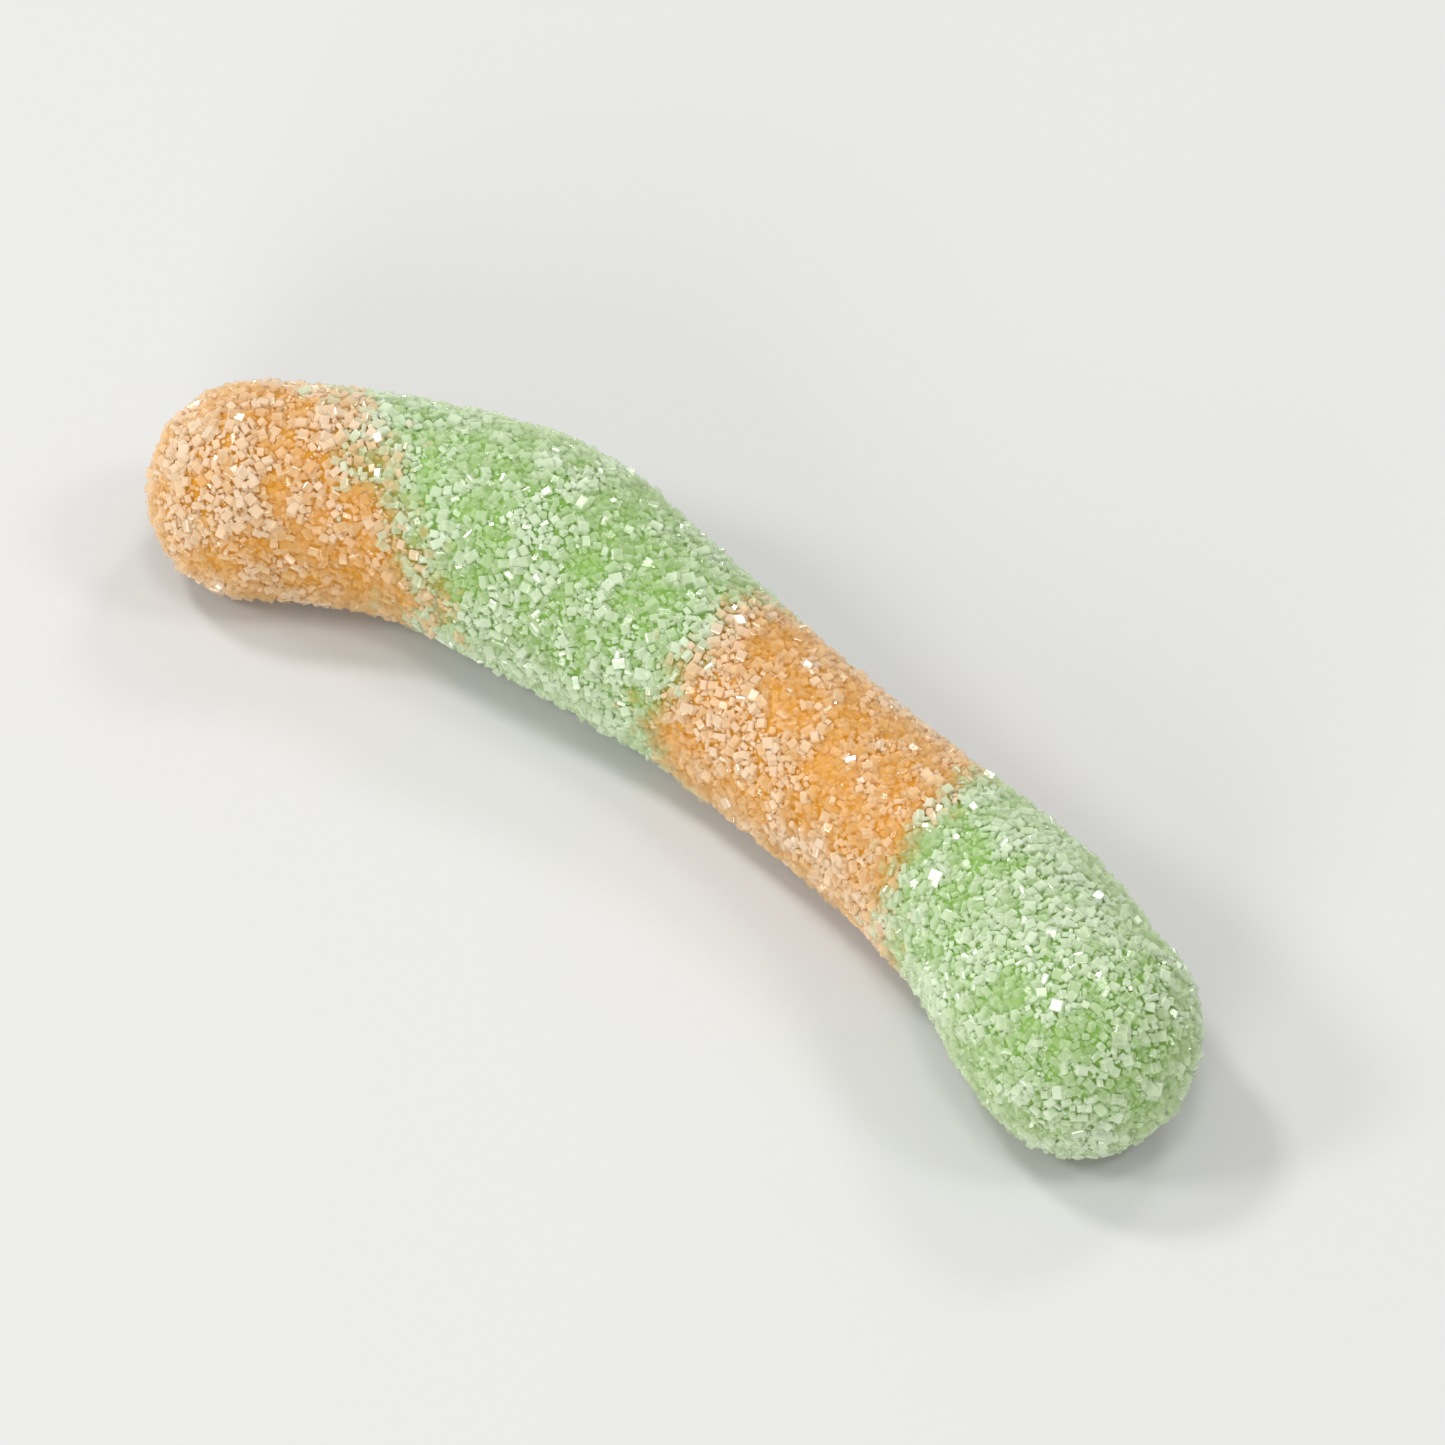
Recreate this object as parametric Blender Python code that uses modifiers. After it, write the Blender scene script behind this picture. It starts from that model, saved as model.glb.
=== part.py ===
# Sour gummy worm: one moulded worm of fruit gel in four colour bands, rolled in sugar.
# Metres, +Z up. The worm lies on its flat side on z = 0, with its tail towards -X and its
# head towards +X, and the origin is under the middle of its bounding box.

import math

import bpy
from mathutils import Matrix, Vector

MM = 0.001

# Middle line seen from above, tail tip to head tip, with the diameter at each station (mm).
STATIONS = (
    (-0.3, 0.0, 11.5),  # tail tip
    (5.0, 5.2, 11.7),  # hook of the tail
    (11.8, 8.7, 11.9),
    (18.9, 10.1, 12.8),  # first swelling
    (26.4, 10.3, 11.5),
    (33.8, 10.0, 10.4),
    (41.1, 9.3, 10.1),  # waist
    (48.4, 8.3, 10.5),
    (55.8, 6.5, 11.7),  # neck, where the head turns down
    (62.3, 3.7, 12.3),  # head
    (68.8, 3.4, 12.3),  # head tip
)
SINK = 1.0  # how far the flat underside is cut into the round section (mm)
TIP_LENGTH = 5.6  # length of each rounded end (mm)

# Colour bands from the tail: node name, colour, and where the band ends along the worm (mm).
BANDS = (
    ("gel_orange_tail", "orange", 11.9),
    ("gel_green_middle", "green", 35.5),
    ("gel_orange_middle", "orange", 52.8),
    ("gel_green_head", "green", None),
)
JOIN_SLANTS = (36.0, -3.0, 20.0)  # how far each colour join leans from square (degrees)
JOIN_GAP = 0.3  # clearance between two bands (mm)

# Sugar crust
GRAIN_SIZE = 0.45  # one crystal (mm)
CRUST_DEPTH = 0.4  # from the deepest hollow to the highest grain (mm)
FACET_SIZE = 0.74  # spacing of the surface's corners, each of them a grain or a hollow (mm)

# Smooth tube that the crust is laid on
RING_STEP = 1.0  # distance between rings (mm)
SIDES = 48  # points in a ring
TIP_RINGS = 12  # rings on each rounded end

COLOURS = {
    "orange": (0.80, 0.44, 0.17, 1.0),
    "green": (0.45, 0.60, 0.31, 1.0),
}
ROUGHNESS = 0.6

TABLE_SIZE = 200 * MM
WAFER_SIZE = 22 * MM  # wide enough to cross the worm at the most slanted join


def clear_scene():
    for obj in list(bpy.data.objects):
        bpy.data.objects.remove(obj, do_unlink=True)


def new_collection(name):
    collection = bpy.data.collections.new(name)
    bpy.context.scene.collection.children.link(collection)
    return collection


def gel_material(name, colour):
    material = bpy.data.materials.new(name)
    material.use_nodes = True
    shader = material.node_tree.nodes["Principled BSDF"]
    shader.inputs["Base Color"].default_value = COLOURS[colour]
    shader.inputs["Roughness"].default_value = ROUGHNESS
    shader.inputs["Metallic"].default_value = 0.0
    shader.inputs["Subsurface Weight"].default_value = 0.4
    shader.inputs["Subsurface Scale"].default_value = 2 * MM
    material.diffuse_color = COLOURS[colour]
    return material


def smooth_line(stations, steps=24):
    """Dense points of a Catmull-Rom curve through the stations."""
    ends = [Vector(stations[0]) * 2 - Vector(stations[1])]
    ends.append(Vector(stations[-1]) * 2 - Vector(stations[-2]))
    knots = [ends[0], *map(Vector, stations), ends[1]]
    dense = []
    for before, start, end, after in zip(knots, knots[1:], knots[2:], knots[3:]):
        for step in range(steps):
            t = step / steps
            dense.append(
                0.5
                * (
                    2 * start
                    + (end - before) * t
                    + (2 * before - 5 * start + 4 * end - after) * t**2
                    + (3 * start - before - 3 * end + after) * t**3
                )
            )
    dense.append(Vector(stations[-1]))
    return dense


class Spine:
    """The worm's middle line, read by distance from the tail tip, in millimetres."""

    def __init__(self, stations):
        self.points = smooth_line(stations)
        self.reach = [0.0]
        for start, end in zip(self.points, self.points[1:]):
            self.reach.append(self.reach[-1] + (end.xy - start.xy).length)
        self.length = self.reach[-1]

    def at(self, distance):
        """(x, y, diameter) at this distance."""
        for i in range(len(self.points) - 2):
            if self.reach[i + 1] >= distance:
                break
        share = (distance - self.reach[i]) / (self.reach[i + 1] - self.reach[i])
        return self.points[i].lerp(self.points[i + 1], share)

    def heading(self, distance, reach=0.5):
        """Angle of the line from +X, in radians."""
        ahead = self.at(distance + reach)
        behind = self.at(distance - reach)
        return math.atan2(ahead.y - behind.y, ahead.x - behind.x)


def ring_places(spine):
    """(distance, share of the full radius) for each ring, round at both ends."""
    tip = []
    for i in range(TIP_RINGS):
        angle = math.pi / 2 * (i + 0.5) / (TIP_RINGS + 0.5)
        tip.append((TIP_LENGTH * (1 - math.cos(angle)), math.sin(angle)))
    straight = spine.length - 2 * TIP_LENGTH
    count = round(straight / RING_STEP)
    body = [(TIP_LENGTH + straight * i / count, 1.0) for i in range(count + 1)]
    far_tip = [(spine.length - distance, share) for distance, share in reversed(tip)]
    return tip + body + far_tip


def worm_tube(spine, collection):
    """The smooth worm: a tube along the spine whose radius follows the stations."""
    curve = bpy.data.curves.new("worm_tube", "CURVE")
    curve.dimensions = "3D"
    curve.bevel_depth = MM
    curve.bevel_resolution = SIDES // 2 - 2
    curve.use_fill_caps = True
    rings = ring_places(spine)
    line = curve.splines.new("POLY")
    line.points.add(len(rings) - 1)
    for point, (distance, share) in zip(line.points, rings):
        x, y, diameter = spine.at(distance)
        point.co = (x * MM, y * MM, (diameter / 2 - SINK) * MM, 1.0)
        point.radius = diameter / 2 * share
    tube = bpy.data.objects.new("worm_tube", curve)
    collection.objects.link(tube)
    return tube


def as_mesh(obj, name, collection):
    """A mesh object of what obj looks like with its modifiers, in its place."""
    bpy.context.view_layer.update()
    evaluated = obj.evaluated_get(bpy.context.evaluated_depsgraph_get())
    mesh = bpy.data.meshes.new_from_object(evaluated)
    made = bpy.data.objects.new(name, mesh)
    made.matrix_world = obj.matrix_world
    collection.objects.link(made)
    bpy.data.objects.remove(obj, do_unlink=True)
    return made


def add_sugar_crust(worm):
    """Covers the worm evenly with facets, and raises or sinks each corner like a grain of sugar."""
    caps = worm.modifiers.new("closed ends", "WELD")
    caps.merge_threshold = 0.01 * MM
    facets = worm.modifiers.new("even facets", "REMESH")
    facets.mode = "VOXEL"
    facets.voxel_size = FACET_SIZE * MM
    grains = bpy.data.textures.new("sugar_grains", "CLOUDS")
    grains.noise_basis = "CELL_NOISE"
    grains.noise_scale = GRAIN_SIZE * MM
    grains.noise_depth = 0
    crust = worm.modifiers.new("sugar crust", "DISPLACE")
    crust.texture = grains
    crust.texture_coords = "LOCAL"
    crust.strength = CRUST_DEPTH * MM
    crust.mid_level = 0.5


def box(name, size, place, collection):
    bpy.ops.mesh.primitive_cube_add(size=1.0)
    made = bpy.context.object
    made.name = name
    made.data.transform(Matrix.Diagonal((*size, 1.0)))
    made.matrix_world = place
    made.hide_render = True
    made.display_type = "WIRE"
    for old in list(made.users_collection):
        old.objects.unlink(made)
    collection.objects.link(made)
    return made


def add_cutters(spine, collection):
    """The table under the worm, and one thin wafer at each join between colours."""
    below = Matrix.Translation((0, 0, -TABLE_SIZE / 2))
    box("table", (TABLE_SIZE, TABLE_SIZE, TABLE_SIZE), below, collection)
    for (name, _, distance), slant in zip(BANDS, JOIN_SLANTS):
        x, y, diameter = spine.at(distance)
        place = Matrix.Translation((x * MM, y * MM, diameter / 2 * MM))
        turn = Matrix.Rotation(spine.heading(distance) + math.radians(slant), 4, "Z")
        box(name + "_end", (JOIN_GAP * MM, WAFER_SIZE, WAFER_SIZE), place @ turn, collection)


def cut(worm, cutters):
    carve = worm.modifiers.new("table and colour joins", "BOOLEAN")
    carve.operation = "DIFFERENCE"
    carve.operand_type = "COLLECTION"
    carve.collection = cutters
    carve.solver = "EXACT"


def split_bands(worm, collection):
    """Each loose piece of the cut worm becomes one band, named from the tail."""
    bpy.ops.object.select_all(action="DESELECT")
    bpy.context.view_layer.objects.active = worm
    worm.select_set(True)
    bpy.ops.mesh.separate(type="LOOSE")
    pieces = [obj for obj in collection.objects if obj.type == "MESH"]
    pieces.sort(key=lambda obj: min(vertex.co.x for vertex in obj.data.vertices))
    for piece, (name, colour, _) in zip(pieces, BANDS, strict=True):
        piece.name = piece.data.name = name
        piece.data.materials.clear()
        piece.data.materials.append(gel_material(name, colour))
    return pieces


def centre(pieces):
    """Moves the bands so that the origin is under the middle of their bounding box."""
    corners = [vertex.co for piece in pieces for vertex in piece.data.vertices]
    middle_x = (min(c.x for c in corners) + max(c.x for c in corners)) / 2
    middle_y = (min(c.y for c in corners) + max(c.y for c in corners)) / 2
    for piece in pieces:
        piece.data.transform(Matrix.Translation((-middle_x, -middle_y, 0)))


def main():
    clear_scene()
    worm_parts = new_collection("gummy_worm")
    cutters = new_collection("cutters")
    spine = Spine(STATIONS)
    tube = worm_tube(spine, worm_parts)
    worm = as_mesh(tube, "worm", worm_parts)
    add_sugar_crust(worm)
    add_cutters(spine, cutters)
    cut(worm, cutters)
    worm = as_mesh(worm, "worm", worm_parts)
    centre(split_bands(worm, worm_parts))


main()
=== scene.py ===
# Sour gummy worm: one worm of fruit gel in orange and green bands, in its coat of sugar crystals.
# Metres, +Z up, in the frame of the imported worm: tail towards -X, head towards +X, floor at z = 0.

import itertools
import math

import bpy
import numpy as np
from mathutils import Matrix, Vector, noise


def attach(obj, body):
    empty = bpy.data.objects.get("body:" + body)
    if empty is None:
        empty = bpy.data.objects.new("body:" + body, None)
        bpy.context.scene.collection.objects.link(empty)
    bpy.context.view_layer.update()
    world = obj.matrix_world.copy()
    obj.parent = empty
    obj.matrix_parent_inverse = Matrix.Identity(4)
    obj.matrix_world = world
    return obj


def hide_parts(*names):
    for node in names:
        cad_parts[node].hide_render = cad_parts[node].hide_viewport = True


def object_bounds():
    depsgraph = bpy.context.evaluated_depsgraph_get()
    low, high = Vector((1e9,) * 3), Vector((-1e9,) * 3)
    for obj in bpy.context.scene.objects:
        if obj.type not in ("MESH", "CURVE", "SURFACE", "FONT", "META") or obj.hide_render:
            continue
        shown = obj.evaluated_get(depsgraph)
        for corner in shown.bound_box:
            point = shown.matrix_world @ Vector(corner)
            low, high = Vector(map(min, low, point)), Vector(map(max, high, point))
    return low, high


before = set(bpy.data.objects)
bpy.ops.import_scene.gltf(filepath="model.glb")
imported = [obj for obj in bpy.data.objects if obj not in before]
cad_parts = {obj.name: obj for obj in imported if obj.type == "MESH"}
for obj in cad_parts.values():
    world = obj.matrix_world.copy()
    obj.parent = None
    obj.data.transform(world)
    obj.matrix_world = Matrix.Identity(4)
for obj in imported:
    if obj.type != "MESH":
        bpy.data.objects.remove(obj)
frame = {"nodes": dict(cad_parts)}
cadLow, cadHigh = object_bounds()  # the solids' box
mm = 0.001
print("frame loaded:", ", ".join(frame["nodes"]))


# Shader helpers

class Wire:  # a shader socket that takes part in sums, so that 1 - mask adds its Math node
    def __init__(self, finish, socket):
        self.finish = finish
        self.socket = socket

    def maths(self, operation, first, second):
        return self.finish.node("Math", {"operation": operation}, {0: first, 1: second})

    def __add__(self, other):
        return self.maths("ADD", self, other)

    def __sub__(self, other):
        return self.maths("SUBTRACT", self, other)

    def __mul__(self, other):
        return self.maths("MULTIPLY", self, other)

    def __rsub__(self, other):
        return self.maths("SUBTRACT", other, self)

    __radd__ = __add__
    __rmul__ = __mul__


class Finish:  # one material, made node by node
    def __init__(self, name, **inputs):
        self.material = bpy.data.materials.new(name)
        self.material.use_nodes = True
        self.nodes = self.material.node_tree.nodes
        self.links = self.material.node_tree.links
        self.surface = self.nodes["Principled BSDF"]
        self.show(**inputs)

    def show(self, **inputs):  # values or wires for the surface's own sockets
        for socket, value in inputs.items():
            self.feed(self.surface.inputs[socket.replace("_", " ")], value)
        return self.material

    def feed(self, socket, value):
        if isinstance(value, Wire):
            self.links.new(value.socket, socket)
        else:
            socket.default_value = value

    def node(self, kind, settings, sockets, output=0):
        made = self.nodes.new("ShaderNode" + kind)
        for setting, value in settings.items():
            setattr(made, setting, value)
        for socket, value in sockets.items():
            self.feed(made.inputs[socket], value)
        return Wire(self, made.outputs[output])

    def mix(self, share, first, second):  # of two colours, which are the node's sockets 6 and 7
        return self.node("Mix", {"data_type": "RGBA"}, {0: share, 6: first, 7: second}, 2)

    def clouds(self, size, detail):  # noise from 0 to 1, with blobs of this size (mm)
        place = self.node("TexCoord", {}, {}, "Object")
        sockets = {"Vector": place, "Scale": 1 / (size * mm), "Detail": detail}
        return self.node("TexNoise", {}, sockets)

    def attribute(self, name):
        return self.node("Attribute", {"attribute_name": name}, {}, "Fac")

    def smooth(self, value, low, high):  # 0 below low, 1 above high
        settings = {"interpolation_type": "SMOOTHSTEP"}
        return self.node("MapRange", settings, {"Value": value, "From Min": low, "From Max": high})


def colour(red, green, blue):  # a colour as a screen shows it, 0 to 255, made linear
    shares = [part / 255 for part in (red, green, blue)]
    return (*[s / 12.92 if s <= 0.04045 else ((s + 0.055) / 1.055) ** 2.4 for s in shares], 1.0)


# Modelling helpers

def nothingSelected():
    if bpy.context.object and bpy.context.object.mode != "OBJECT":
        bpy.ops.object.mode_set(mode="OBJECT")
    bpy.ops.object.select_all(action="DESELECT")


def selectOnly(piece, kind, wanted):  # in edit mode, only the vertices or edges that are wanted
    bpy.ops.mesh.select_mode(type=kind)
    bpy.ops.mesh.select_all(action="DESELECT")
    bpy.ops.object.mode_set(mode="OBJECT")
    for part in piece.data.vertices if kind == "VERT" else piece.data.edges:
        part.select = wanted(part)
    bpy.ops.object.mode_set(mode="EDIT")


def applyModifier(piece, kind, **settings):
    bpy.ops.object.modifier_add(type=kind)
    modifier = piece.modifiers[-1]
    for setting, value in settings.items():
        setattr(modifier, setting, value)
    bpy.ops.object.modifier_apply(modifier=modifier.name)


def vertexPlaces(mesh):
    places = np.empty(len(mesh.vertices) * 3)
    mesh.vertices.foreach_get("co", places)
    return places.reshape(-1, 3)


def saveAttribute(mesh, name, values):  # one number for each vertex
    made = mesh.attributes.new(name, "FLOAT", "POINT")
    made.data.foreach_set("value", np.asarray(values, dtype=np.float32))


# The middle line

worm = {
    "stations": (  # middle line from above, tail tip to head tip: x, y and diameter (mm)
        (-0.3, 0.0, 11.5),  # tail tip
        (5.0, 5.2, 11.7),  # hook of the tail
        (11.8, 8.7, 11.9),
        (18.9, 10.1, 12.8),  # first swelling
        (26.4, 10.3, 11.5),
        (33.8, 10.0, 10.4),
        (41.1, 9.3, 10.1),  # waist
        (48.4, 8.3, 10.5),
        (55.8, 6.5, 11.7),  # neck, where the head turns down
        (62.3, 3.7, 12.3),  # head
        (68.8, 3.4, 12.3),  # head tip
    ),
    "stepsPerStation": 24,
    "flatDepth": 1.0,  # how far the flat underside lies inside the round section (mm)
    "tipLength": 5.6,  # length of each rounded end (mm)
    "joins": ((11.9, 36.0), (35.5, -3.0), (52.8, 20.0)),  # distance (mm), lean from square (degrees)
    "joinTongues": ((3.5, 1.6), (1.1, 0.5)),  # of colour over a join: their size, their reach (mm)
    "tonguesStart": (0, 0, 620),  # where in the noise the tongues are read
}


def curveThrough(stations, steps):  # dense points of a Catmull-Rom curve
    knots = np.array(stations)
    knots = np.vstack([2 * knots[0] - knots[1], knots, 2 * knots[-1] - knots[-2]])
    share = (np.arange(steps) / steps)[:, None]
    dense = []
    for before, start, end, after in zip(knots, knots[1:], knots[2:], knots[3:]):
        bend = 2 * before - 5 * start + 4 * end - after
        twist = 3 * start - before - 3 * end + after
        dense.append(0.5 * (2 * start + (end - before) * share + bend * share**2 + twist * share**3))
    return np.vstack([*dense, knots[-2:-1]])


linePoints = curveThrough(worm["stations"], worm["stepsPerStation"])
lineReach = np.concatenate([[0], np.cumsum(np.hypot(*np.diff(linePoints[:, :2], axis=0).T))])
lineLength = lineReach[-1]


def along(distance):  # x, y and diameter at this distance from the tail tip (mm)
    return np.array([np.interp(distance, lineReach, linePoints[:, column]) for column in range(3)])


def heading(distance, reach=0.5):  # angle of the middle line from +X
    ahead, behind = along(distance + reach), along(distance - reach)
    return math.atan2(ahead[1] - behind[1], ahead[0] - behind[0])


def ripple(points, size, start=(0, 0, 0)):  # smooth noise from about -1 to 1, of this size (mm)
    start = Vector(start)
    return np.array([noise.noise(Vector(point) / size + start) for point in points.tolist()])


def greenSide(points):  # distance from the nearest colour join, positive in the green bands (mm)
    sides = []
    for distance, lean in worm["joins"]:
        angle = heading(distance) + math.radians(lean)
        across = np.array([math.cos(angle), math.sin(angle)])
        sides.append((points[:, :2] - along(distance)[:2]) @ across)
    pastFirst, pastSecond, pastThird = sides
    side = np.maximum(np.minimum(pastFirst, -pastSecond), pastThird)
    for size, reach in worm["joinTongues"]:
        side += reach * ripple(points, size, worm["tonguesStart"])
    return side


# Gel body

gel = {
    "underCrust": 0.22,  # how far the gel lies under the sugar's outline (mm)
    "footHeight": 0.2,  # gap under the flat underside, where grains lie (mm)
    "sides": 32,  # of the tube before it is subdivided
    "ringStep": 1.7,  # (mm)
    "tipRings": 6,
    "capGap": 0.01,  # points nearer than this are merged (mm)
    "subdivisions": 2,
    "unevenness": ((6.0, 0.35), (1.6, 0.14)),  # size of the swellings and their height (mm)
    "orange": colour(194, 134, 6),
    "green": colour(121, 160, 68),
    "brown": colour(150, 118, 40),  # where the two run together
    "brownShare": 0.5,  # in the middle of a join
    "joinBlend": 1.5,  # half the width over which two colours run together (mm)
    "lightReach": 1.5,  # how far light spreads inside (mm)
    "dimples": (0.5, 0.1),  # size and depth of the skin's fine dimples (mm)
}


def ringPlaces():  # distance along and share of the full radius, round at both ends
    tip = []
    for i in range(gel["tipRings"]):
        angle = math.pi / 2 * (i + 0.5) / (gel["tipRings"] + 0.5)
        tip.append((worm["tipLength"] * (1 - math.cos(angle)), math.sin(angle)))
    straight = lineLength - 2 * worm["tipLength"]
    count = round(straight / gel["ringStep"])
    body = [(worm["tipLength"] + straight * i / count, 1.0) for i in range(count + 1)]
    return tip + body + [(lineLength - distance, share) for distance, share in reversed(tip)]


def shapeTube(tube):  # a curve along the middle line, as thick as the gel
    rings = ringPlaces()
    tube.splines.clear()
    tube.twist_mode = "Z_UP"
    tube.bevel_depth = mm  # so that the radius of a point is in mm
    tube.bevel_resolution = gel["sides"] // 2 - 2
    tube.use_fill_caps = True
    line = tube.splines.new("POLY")
    line.points.add(len(rings) - 1)
    for point, (distance, share) in zip(line.points, rings):
        x, y, diameter = along(distance)
        middle = Vector((x, y, diameter / 2 - worm["flatDepth"])) * mm
        point.co = (*middle, 1)
        point.radius = (diameter / 2 - gel["underCrust"]) * share


def flattenUnderside(body):  # everything below the foot goes up to its height
    foot = gel["footHeight"] * mm
    selectOnly(body, "VERT", lambda vertex: vertex.co.z < foot)
    bpy.ops.transform.resize(value=(1, 1, 0), center_override=(0, 0, foot))


def modelGel():
    nothingSelected()
    bpy.ops.curve.primitive_nurbs_path_add()
    body = bpy.context.object
    shapeTube(body.data)
    bpy.ops.object.convert(target="MESH")
    body.name = body.data.name = "gel"
    applyModifier(body, "WELD", merge_threshold=gel["capGap"] * mm)  # the caps come loose
    bpy.ops.object.mode_set(mode="EDIT")
    flattenUnderside(body)
    bpy.ops.object.mode_set(mode="OBJECT")
    levels = gel["subdivisions"]
    applyModifier(body, "SUBSURF", levels=levels, render_levels=levels)
    for size, height in gel["unevenness"]:
        swellings = bpy.data.textures.new("swellings", "CLOUDS")
        swellings.noise_scale = size * mm
        applyModifier(body, "DISPLACE", texture=swellings, texture_coords="LOCAL",
                      strength=height * mm, mid_level=0.5)
    bpy.ops.object.shade_smooth()
    return body


def gelFinish():
    finish = Finish("orangeAndGreenGel", Roughness=0.42, IOR=1.4,
                    Sheen_Weight=0.6, Sheen_Roughness=0.4, Subsurface_Weight=0.3,
                    Subsurface_Scale=gel["lightReach"] * mm, Subsurface_Radius=(1.0, 0.8, 0.5))
    side = finish.attribute("greenSide")
    green = finish.smooth(side, -gel["joinBlend"], gel["joinBlend"])
    base = finish.mix(green, gel["orange"], gel["green"])
    meeting = green * (1 - green) * (4 * gel["brownShare"])  # the product is 1/4 in the middle
    base = finish.mix(meeting, base, gel["brown"])
    size, depth = gel["dimples"]
    dimples = finish.clouds(size, detail=3.0)
    bump = finish.node("Bump", {}, {"Strength": 0.4, "Distance": depth * mm, "Height": dimples})
    return finish.show(Base_Color=base, Normal=bump)


gelBody = modelGel()
gelPlaces = vertexPlaces(gelBody.data)
gelMiddle = (gelPlaces.min(0) + gelPlaces.max(0)) / 2
cadMiddle = (cadLow + cadHigh) / 2
lineOffset = np.array([cadMiddle.x - gelMiddle[0], cadMiddle.y - gelMiddle[1], 0])  # (m)
gelBody.data.transform(Matrix.Translation(lineOffset))
saveAttribute(gelBody.data, "greenSide", greenSide(gelPlaces / mm))
gelBody.data.materials.append(gelFinish())
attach(gelBody, "root")
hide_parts(*frame["nodes"])
print("gel:", len(gelBody.data.polygons), "faces")


# Sugar crystals

sugar = {
    "seed": 20,
    "shapes": {  # sides, bevel, and slant of the ends (radians) of a crystal about 1 unit across
        "block": {"sides": (1.1, 0.9, 0.75), "bevel": 0.1, "longEdgesOnly": False, "slant": 0},
        "prism": {"sides": (1.3, 0.85, 0.75), "bevel": 0.2, "longEdgesOnly": True, "slant": 0.35},
        "chip": {"sides": (1, 1, 1), "bevel": 0, "longEdgesOnly": False, "slant": 0.35},
    },
    "kinds": (  # size and how far out it lies (mm), range of scales, lean (degrees), how patchy
        {"name": "sugarBlocks", "shape": "block", "count": 4200, "size": 0.5, "proud": 0.15,
         "scales": (0.75, 1.3), "lean": 30, "patchiness": 1.0},
        {"name": "sugarPrisms", "shape": "prism", "count": 7000, "size": 0.37, "proud": 0.11,
         "scales": (0.75, 1.25), "lean": 40, "patchiness": 1.0},
        {"name": "sugarChips", "shape": "chip", "count": 14000, "size": 0.26, "proud": 0.08,
         "scales": (0.6, 1.25), "lean": 50, "patchiness": 0.7},
        {"name": "sugarDust", "shape": "chip", "count": 14000, "size": 0.16, "proud": 0.05,
         "scales": (0.6, 1.2), "lean": 60, "patchiness": 0.0},
    ),
    "sideScales": (0.85, 1.15),  # how unequal the sides of a grain are
    "leanSpread": 0.6,  # spread of a kind's leans, as a share of its lean
    "triesPerGrain": 5,  # places that are drawn for each grain
    "packing": 0.85,  # gap between neighbours, as a share of their size
    "cover": 0.75,  # share of the tries that count where no patch adds or takes
    "patchSize": 1.5,  # size of the patches with more or fewer grains (mm)
    "paleCover": 0.2,  # how many more grains the paler patches have
    "frostAndSheenPatches": (  # size of the paler patches (mm), how pale; real patches of frost and in part a painted sheen, placed so the worm's sides come out paler and its middle clearer as the camera sees it
        (6.5, 1.1),
        (4.5, 1.0),
        (3.0, 1.2),
        (2.0, 1.3),
        (1.1, 1.9),
        (0.6, 1.2),
    ),
    "patchesStart": (0, 0, 100),  # where the largest are read in the noise, each next as far again; these places also set where the painted sheen pales the sides
    "frostAndSheen": (0.3, 0.48, 0.35),  # to start with, added or taken by the patches, added by chance
    "strays": 1.1,  # how far grains usually stray over a colour join (mm)
    "orange": (colour(255, 218, 150), colour(255, 233, 202)),  # clear and frosted crystals
    "green": (colour(223, 241, 194), colour(236, 249, 221)),
    "opacity": (0.22, 0.83),
}


def crystalShape(shape):  # corners and faces of one crystal, modelled once
    nothingSelected()
    bpy.ops.mesh.primitive_cube_add(size=1)
    crystal = bpy.context.object
    bpy.ops.object.mode_set(mode="EDIT")
    bpy.ops.mesh.select_mode(type="EDGE")
    bpy.ops.transform.resize(value=shape["sides"])
    if shape["longEdgesOnly"]:
        selectOnly(crystal, "EDGE", lambda edge: fromEndToEnd(crystal.data, edge))
    if shape["bevel"]:
        bpy.ops.mesh.bevel(offset=shape["bevel"], segments=1)
    if shape["slant"]:
        slantEnds(crystal, shape["sides"][0], shape["slant"])
    bpy.ops.object.mode_set(mode="OBJECT")
    corners = vertexPlaces(crystal.data)
    faces = [tuple(face.vertices) for face in crystal.data.polygons]
    bpy.data.objects.remove(crystal, do_unlink=True)
    return corners, faces


def fromEndToEnd(mesh, edge):  # along X
    start, end = (mesh.vertices[i].co.x for i in edge.vertices)
    return start * end < 0


def slantEnds(crystal, length, angle):
    for side in (1, -1):
        selectOnly(crystal, "VERT", lambda vertex: side * vertex.co.x > 0)
        end = (side * length / 2, 0, 0)
        bpy.ops.transform.rotate(value=angle, orient_axis="Y", center_override=end)


class Grains:  # where grains lie, so that the next keeps its distance
    def __init__(self, cell):  # no gap is wider than a cell
        self.cell = cell
        self.cells = {}

    def cellOf(self, place):
        return tuple(int(v // self.cell) for v in place)

    def near(self, place):
        for key in itertools.product(*((v - 1, v, v + 1) for v in self.cellOf(place))):
            yield from self.cells.get(key, ())

    def add(self, place, size):  # False where another grain is too near
        for other, otherSize in self.near(place):
            gap = sugar["packing"] * (size + otherSize) / 2
            if sum((a - b) ** 2 for a, b in zip(place, other)) < gap**2:
                return False
        self.cells.setdefault(self.cellOf(place), []).append((place, size))
        return True


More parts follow.
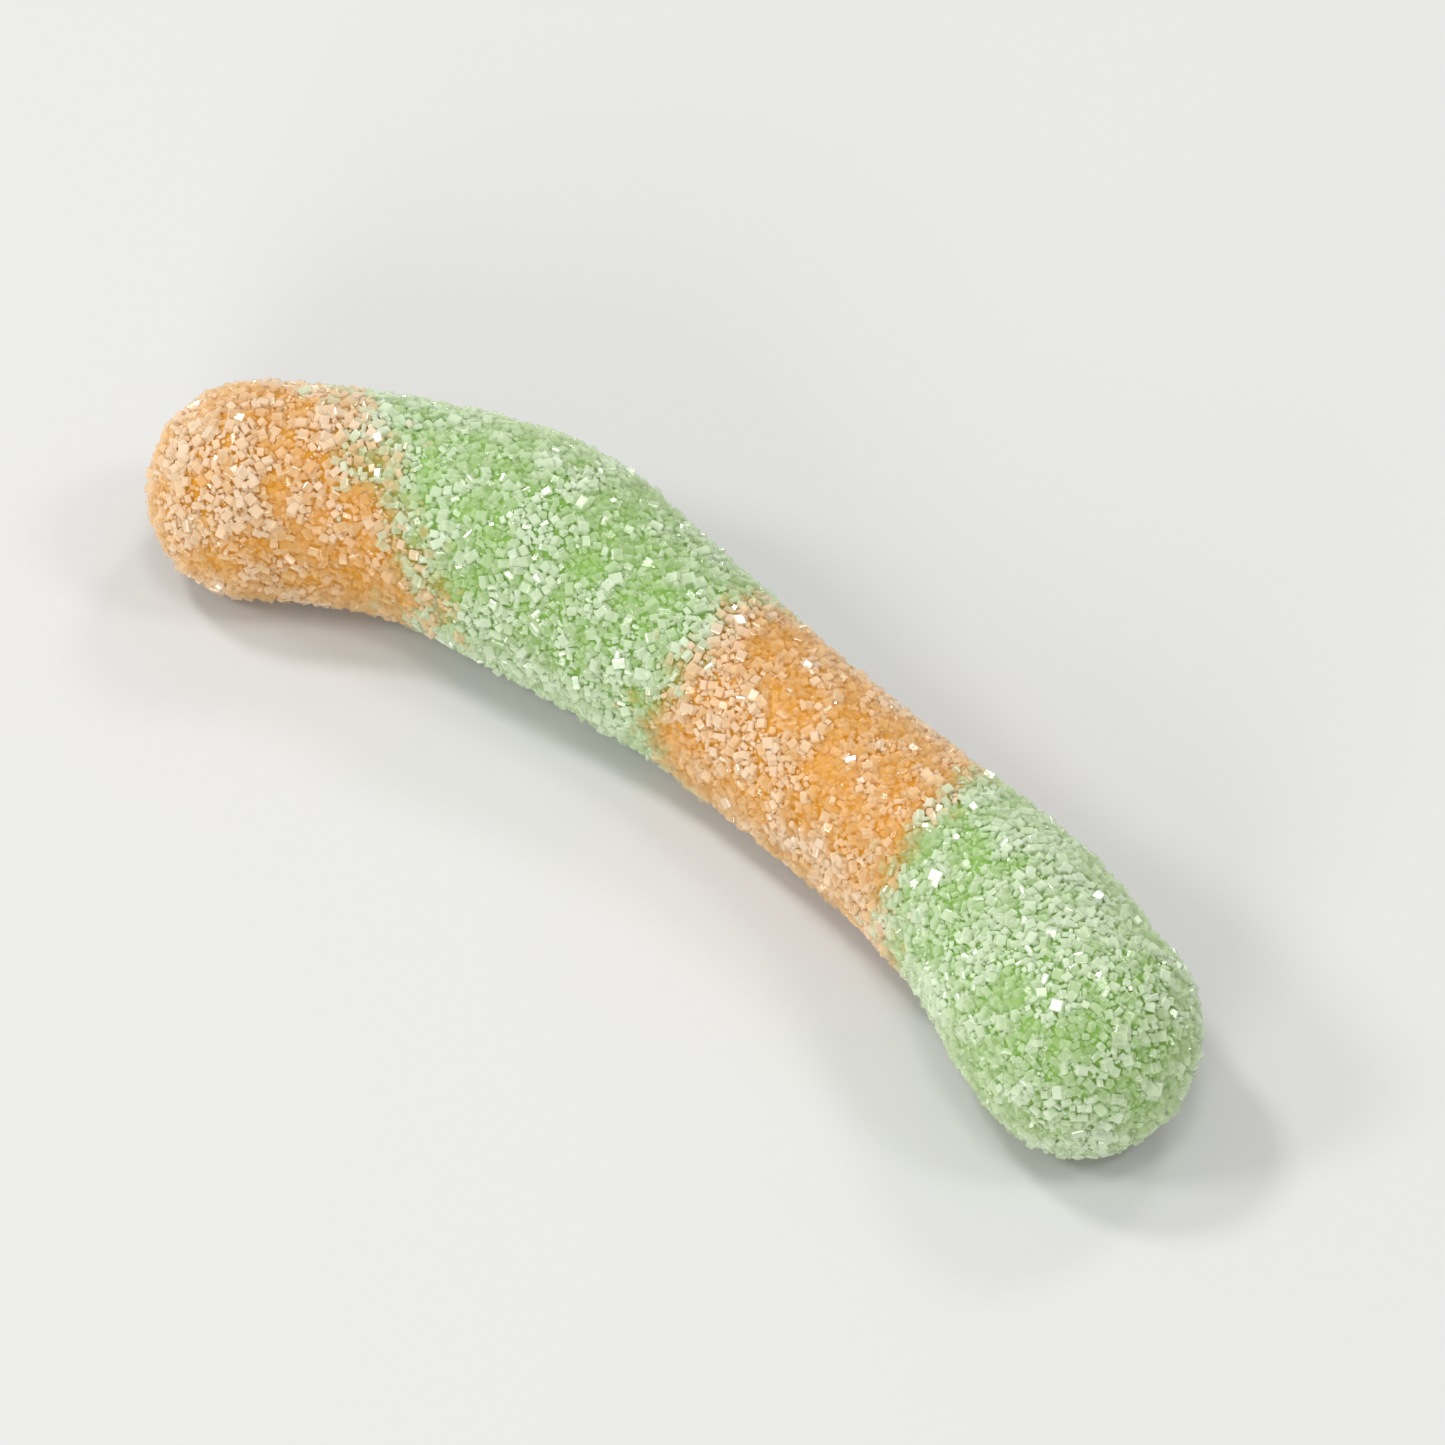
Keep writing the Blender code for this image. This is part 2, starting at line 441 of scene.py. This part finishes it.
def surfaceSpots(mesh, count, chance):  # random places on the gel, and the way out there
    mesh.calc_loop_triangles()
    triangles = np.empty(len(mesh.loop_triangles) * 3, dtype=np.int32)
    mesh.loop_triangles.foreach_get("vertices", triangles)
    triangles = triangles.reshape(-1, 3)
    corners = vertexPlaces(mesh)
    normals = np.empty(len(mesh.vertices) * 3)
    mesh.vertices.foreach_get("normal", normals)
    normals = normals.reshape(-1, 3)
    a, b, c = (corners[triangles[:, i]] for i in range(3))
    areas = np.linalg.norm(np.cross(b - a, c - a), axis=1)
    chosen = chance.choice(len(triangles), size=count, p=areas / areas.sum())
    u, v = chance.random((2, count))
    u, v = np.where(u + v > 1, 1 - u, u), np.where(u + v > 1, 1 - v, v)
    weights = np.stack([1 - u - v, u, v], axis=1)[:, :, None]
    spots = (corners[triangles[chosen]] * weights).sum(1)
    ways = (normals[triangles[chosen]] * weights).sum(1)
    return spots, ways / np.linalg.norm(ways, axis=1, keepdims=True)


# Real patches of frost and in part a painted sheen: their places in the noise give paler sugar along
# the worm's sides as the camera sees them and clearer sugar in the middle
def patchPaleness(places):  # above 0 in the paler patches, below 0 in the clearer ones
    paleness = 0
    start = Vector()
    for size, pale in sugar["frostAndSheenPatches"]:
        start += Vector(sugar["patchesStart"])
        paleness += pale * ripple(places, size, start)
    return paleness


def chooseSpots(kind, chance, grains):  # a kind's places (m), the way out and the paleness there
    spots, ways = surfaceSpots(gelBody.data, kind["count"] * sugar["triesPerGrain"], chance)
    places = spots / mm
    paleness = patchPaleness(places)
    fullness = ripple(places, sugar["patchSize"]) + sugar["paleCover"] * paleness
    wanted = chance.random(len(spots)) < sugar["cover"] + kind["patchiness"] * fullness
    kept = []
    for i in np.flatnonzero(wanted).tolist():
        if len(kept) < kind["count"] and grains.add(places[i].tolist(), kind["size"]):
            kept.append(i)
    return spots[kept], ways[kept], paleness[kept]


def randomTurns(ways, lean, chance):  # one for each grain, its third axis near the way out
    count = len(ways)
    spread = chance.normal(size=(count, 3)) * math.tan(math.radians(lean)) * sugar["leanSpread"]
    up = ways + spread
    up /= np.linalg.norm(up, axis=1, keepdims=True)
    side = np.cross(up, chance.normal(size=(count, 3)))
    side /= np.linalg.norm(side, axis=1, keepdims=True)
    return np.stack([side, np.cross(up, side), up], axis=2)


def scatter(kind, chance, grains):  # one piece with all the grains of a kind
    corners, faces = crystalShape(sugar["shapes"][kind["shape"]])
    spots, ways, paleness = chooseSpots(kind, chance, grains)
    count = len(spots)
    turns = randomTurns(ways, kind["lean"], chance)
    scales = chance.uniform(*kind["scales"], size=(count, 1, 1))
    scales = scales * chance.uniform(*sugar["sideScales"], size=(count, 1, 3))
    copies = (corners[None] * scales) @ turns.transpose(0, 2, 1) * kind["size"] * mm
    copies += (spots + ways * kind["proud"] * mm)[:, None]
    below = np.minimum(copies[:, :, 2].min(1), 0)
    copies[:, :, 2] -= below[:, None]  # grains underneath are pressed into the gel
    piece = joinCopies(kind["name"], copies, faces)
    side = greenSide(spots / mm - lineOffset / mm) + chance.normal(size=count) * sugar["strays"]
    saveShares(piece, "green", side + 0.5, len(corners))  # half green on the join itself
    start, fromPatch, fromChance = sugar["frostAndSheen"]
    # the patches' share of this frost is partly painted sheen, paler at the sides as the camera sees
    # them
    frostAndSheen = start + fromPatch * np.tanh(paleness) + fromChance * chance.random(count)
    saveShares(piece, "frostAndSheen", frostAndSheen, len(corners))
    return piece


def saveShares(piece, name, shares, perGrain):  # from 0 to 1, the same on a whole grain
    saveAttribute(piece.data, name, np.repeat(np.clip(shares, 0, 1), perGrain))


def joinCopies(name, copies, faces):  # one mesh of all of them, from arrays
    count, perGrain = copies.shape[:2]
    lengths = np.array([len(face) for face in faces])
    loops = np.concatenate([np.array(face) for face in faces])
    allLoops = (loops[None] + np.arange(count)[:, None] * perGrain).ravel()
    allLengths = np.tile(lengths, count)
    mesh = bpy.data.meshes.new(name)
    mesh.vertices.add(count * perGrain)
    mesh.vertices.foreach_set("co", copies.ravel())
    mesh.loops.add(len(allLoops))
    mesh.loops.foreach_set("vertex_index", allLoops)
    mesh.polygons.add(len(allLengths))
    mesh.polygons.foreach_set("loop_start", np.concatenate([[0], np.cumsum(allLengths)[:-1]]))
    mesh.update(calc_edges=True)
    mesh.shade_flat()
    piece = bpy.data.objects.new(name, mesh)
    bpy.context.scene.collection.objects.link(piece)
    return piece


def sugarFinish():
    finish = Finish("sugarCrystals", Roughness=0.06, IOR=1.54, Transmission_Weight=0.35)
    green = finish.attribute("green")
    frostAndSheen = finish.attribute("frostAndSheen")
    clear = finish.mix(green, sugar["orange"][0], sugar["green"][0])
    frosted = finish.mix(green, sugar["orange"][1], sugar["green"][1])
    least, most = sugar["opacity"]
    opacity = frostAndSheen * (most - least) + least
    return finish.show(Base_Color=finish.mix(frostAndSheen, clear, frosted), Alpha=opacity)


chance = np.random.default_rng(sugar["seed"])
allGrains = Grains(max(kind["size"] for kind in sugar["kinds"]))
crystalMaterial = sugarFinish()
for kind in sugar["kinds"]:
    grainPiece = scatter(kind, chance, allGrains)
    grainPiece.data.materials.append(crystalMaterial)
    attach(grainPiece, "root")
    grainPiece.data.calc_loop_triangles()
    print(kind["name"] + ":", len(grainPiece.data.loop_triangles), "triangles")


# Floor, light and camera

studio = {
    "floorSize": 4.0,
    "floorColour": colour(196, 196, 194),
    "skyColour": (1.0, 1.0, 1.0, 1.0),
    "skyStrength": 0.48,
    "cameraPlace": (0.3017, -0.3197, 0.4603),
    "cameraAim": (0.0, 0.0015, 0.004),
    "cameraRoll": -1.1,  # (degrees)
    "cameraReach": (0.01, 10.0),  # the nearest and the farthest that it sees
    "lens": 300,  # (millimetres)
    "lights": (  # name, azimuth and elevation from which it shines, distance, size, power
        ("key", 275, 55, 0.8, 0.14, 2.1),
        ("back", 190, 45, 0.9, 0.2, 1.25),
        ("left", 320, 40, 0.8, 0.2, 1.9),
        ("right", 120, 50, 0.9, 0.2, 1.25),
        ("front", 25, 18, 0.9, 0.4, 4.0),
        ("top", 60, 80, 0.8, 0.2, 1.15),
    ),
}


def wayTo(azimuth, elevation):  # azimuth 0 is -Y and 90 is +X
    a, e = math.radians(azimuth), math.radians(elevation)
    return Vector((math.sin(a) * math.cos(e), -math.cos(a) * math.cos(e), math.sin(e)))


def addFloor():
    nothingSelected()
    bpy.ops.mesh.primitive_plane_add(size=studio["floorSize"])
    floor = bpy.context.object
    floor.name = "floor"
    paint = Finish("paleFloor", Roughness=0.8, Base_Color=studio["floorColour"])
    floor.data.materials.append(paint.material)


def addLights():
    for name, azimuth, elevation, distance, size, power in studio["lights"]:
        way = wayTo(azimuth, elevation)
        bpy.ops.object.light_add(type="AREA", location=way * distance)
        light = bpy.context.object
        light.name = name
        light.rotation_euler = way.to_track_quat("Z", "Y").to_euler()
        light.data.shape = "DISK"
        light.data.size = size
        light.data.energy = power


def addSky():
    world = bpy.data.worlds.new("studio")
    world.use_nodes = True
    sky = world.node_tree.nodes["Background"]
    sky.inputs["Color"].default_value = studio["skyColour"]
    sky.inputs["Strength"].default_value = studio["skyStrength"]
    bpy.context.scene.world = world
    bpy.context.scene.view_settings.view_transform = "Standard"


def addCamera():
    place, aim = Vector(studio["cameraPlace"]), Vector(studio["cameraAim"])
    roll = Matrix.Rotation(math.radians(studio["cameraRoll"]), 3, "Z")
    turn = (place - aim).to_track_quat("Z", "Y").to_matrix() @ roll
    bpy.ops.object.camera_add(location=place, rotation=turn.to_euler())
    camera = bpy.context.object
    camera.data.lens = studio["lens"]
    camera.data.clip_start, camera.data.clip_end = studio["cameraReach"]
    bpy.context.scene.camera = camera


addFloor()
addLights()
addSky()
addCamera()
print("studio ready")
